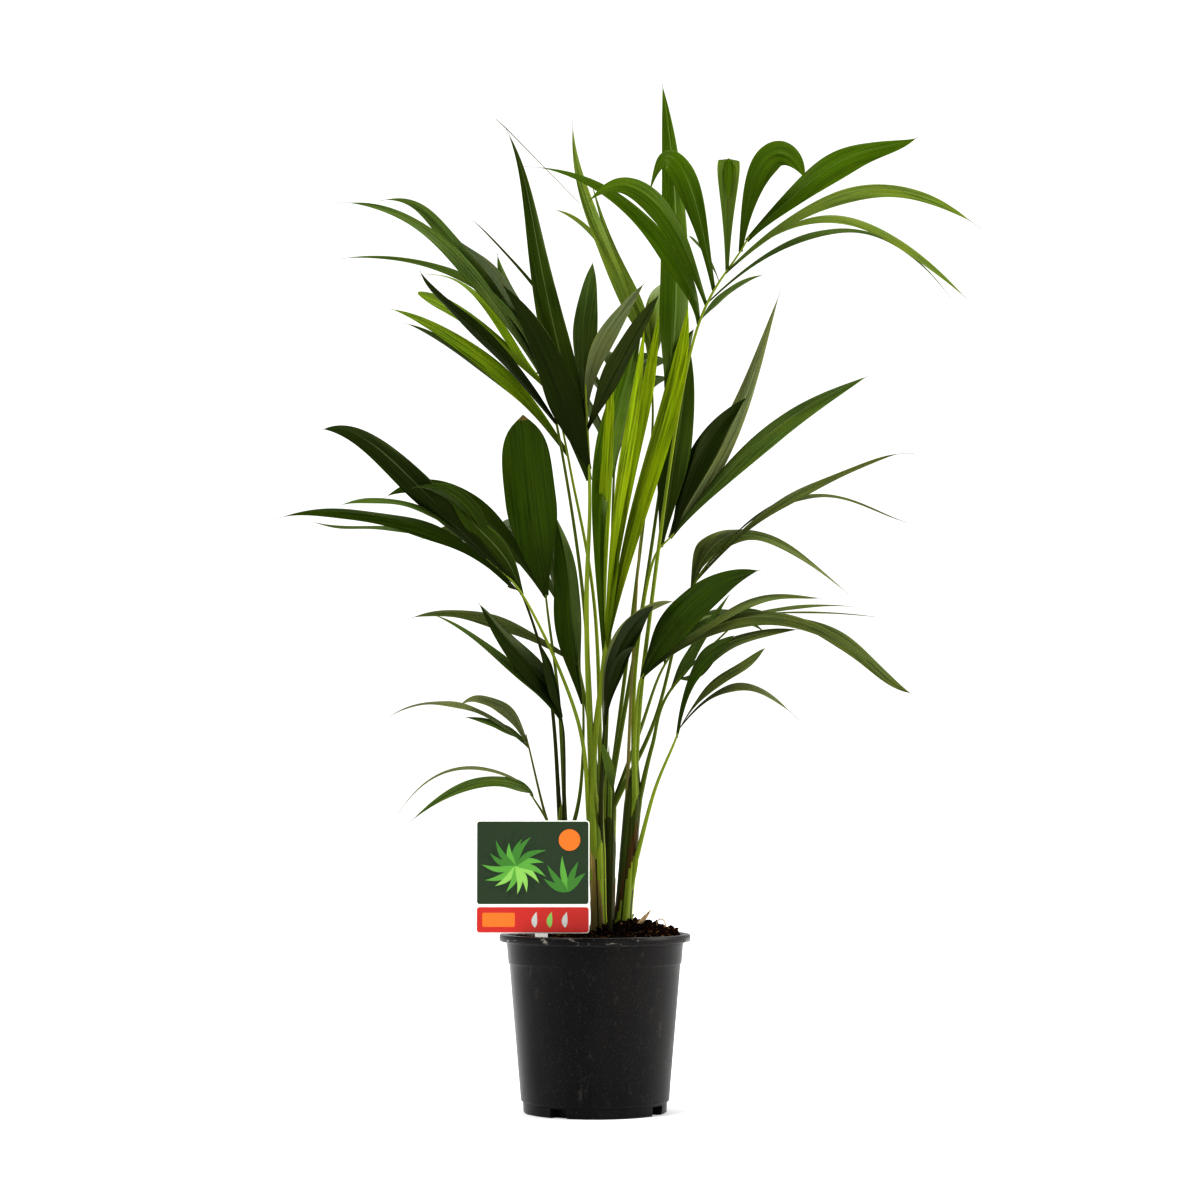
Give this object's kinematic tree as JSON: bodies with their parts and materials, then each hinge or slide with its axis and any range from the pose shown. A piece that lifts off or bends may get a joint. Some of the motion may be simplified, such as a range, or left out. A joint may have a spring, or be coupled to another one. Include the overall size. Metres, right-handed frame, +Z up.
{
  "type": "potted kentia palm",
  "caption": "Young kentia palm in a plain black nursery pot, with arching feathered fronds on thin petioles and a picture label on a stake in the soil.",
  "frame": {"origin": "centre of the pot's flat underside", "axes": "+Z up along the pot's axis, -Y to the front where the label stands, +X to the right seen from the front"},
  "size_m": [0.6664, 0.4464, 1.0096],
  "materials": {
    "pot": "satin black polypropylene, scuffed",
    "soil": "coarse damp peat",
    "label": "printed plastic card",
    "stems": "green sheaths under dry tan fibre",
    "petioles": "smooth green leaf stalk",
    "fronds": "satin leaf, dark green",
    "young_fronds": "satin leaf, yellow green",
    "dry_petiole": "dry tan petiole"
  },
  "bodies": {
    "root": {"pot": "pot", "soil": "soil", "label": "label", "stem_centre": "stems", "stem_right": "stems", "stem_left": "stems", "stem_back": "stems", "frond_top_right": "fronds", "petiole_top_right": "petioles", "frond_tall": "fronds", "frond_upper_pale": "young_fronds", "petiole_upper_pale": "petioles", "young_fan": "young_fronds", "frond_upper_left": "fronds", "petiole_upper_left": "petioles", "frond_left_upright": "fronds", "frond_left_bright": "young_fronds", "petiole_left_bright": "petioles", "frond_left_broad": "fronds", "petiole_left_broad": "petioles", "frond_left_dark": "fronds", "petiole_left_dark": "petioles", "frond_left_long": "fronds", "petiole_left_long": "petioles", "frond_front_upright": "fronds", "petiole_front_upright": "petioles", "frond_left_low": "fronds", "petiole_left_low": "petioles", "frond_lowest_back": "fronds", "petiole_lowest_back": "petioles", "frond_lowest_front": "fronds", "petiole_lowest_front": "petioles", "frond_right_upper": "fronds", "petiole_right_upper": "petioles", "frond_right": "fronds", "petiole_right": "petioles", "frond_right_front": "fronds", "petiole_right_front": "petioles", "frond_right_arch": "fronds", "petiole_right_arch": "petioles", "frond_right_low": "fronds", "petiole_right_low": "petioles", "frond_centre": "fronds", "frond_back_high": "fronds", "petiole_back_high": "petioles", "frond_back_left": "fronds", "petiole_back_left": "petioles", "frond_back_right": "fronds", "petiole_back_right": "petioles", "seedling_front": "fronds", "dry_petiole": "dry_petiole"}
  },
  "joints": []
}
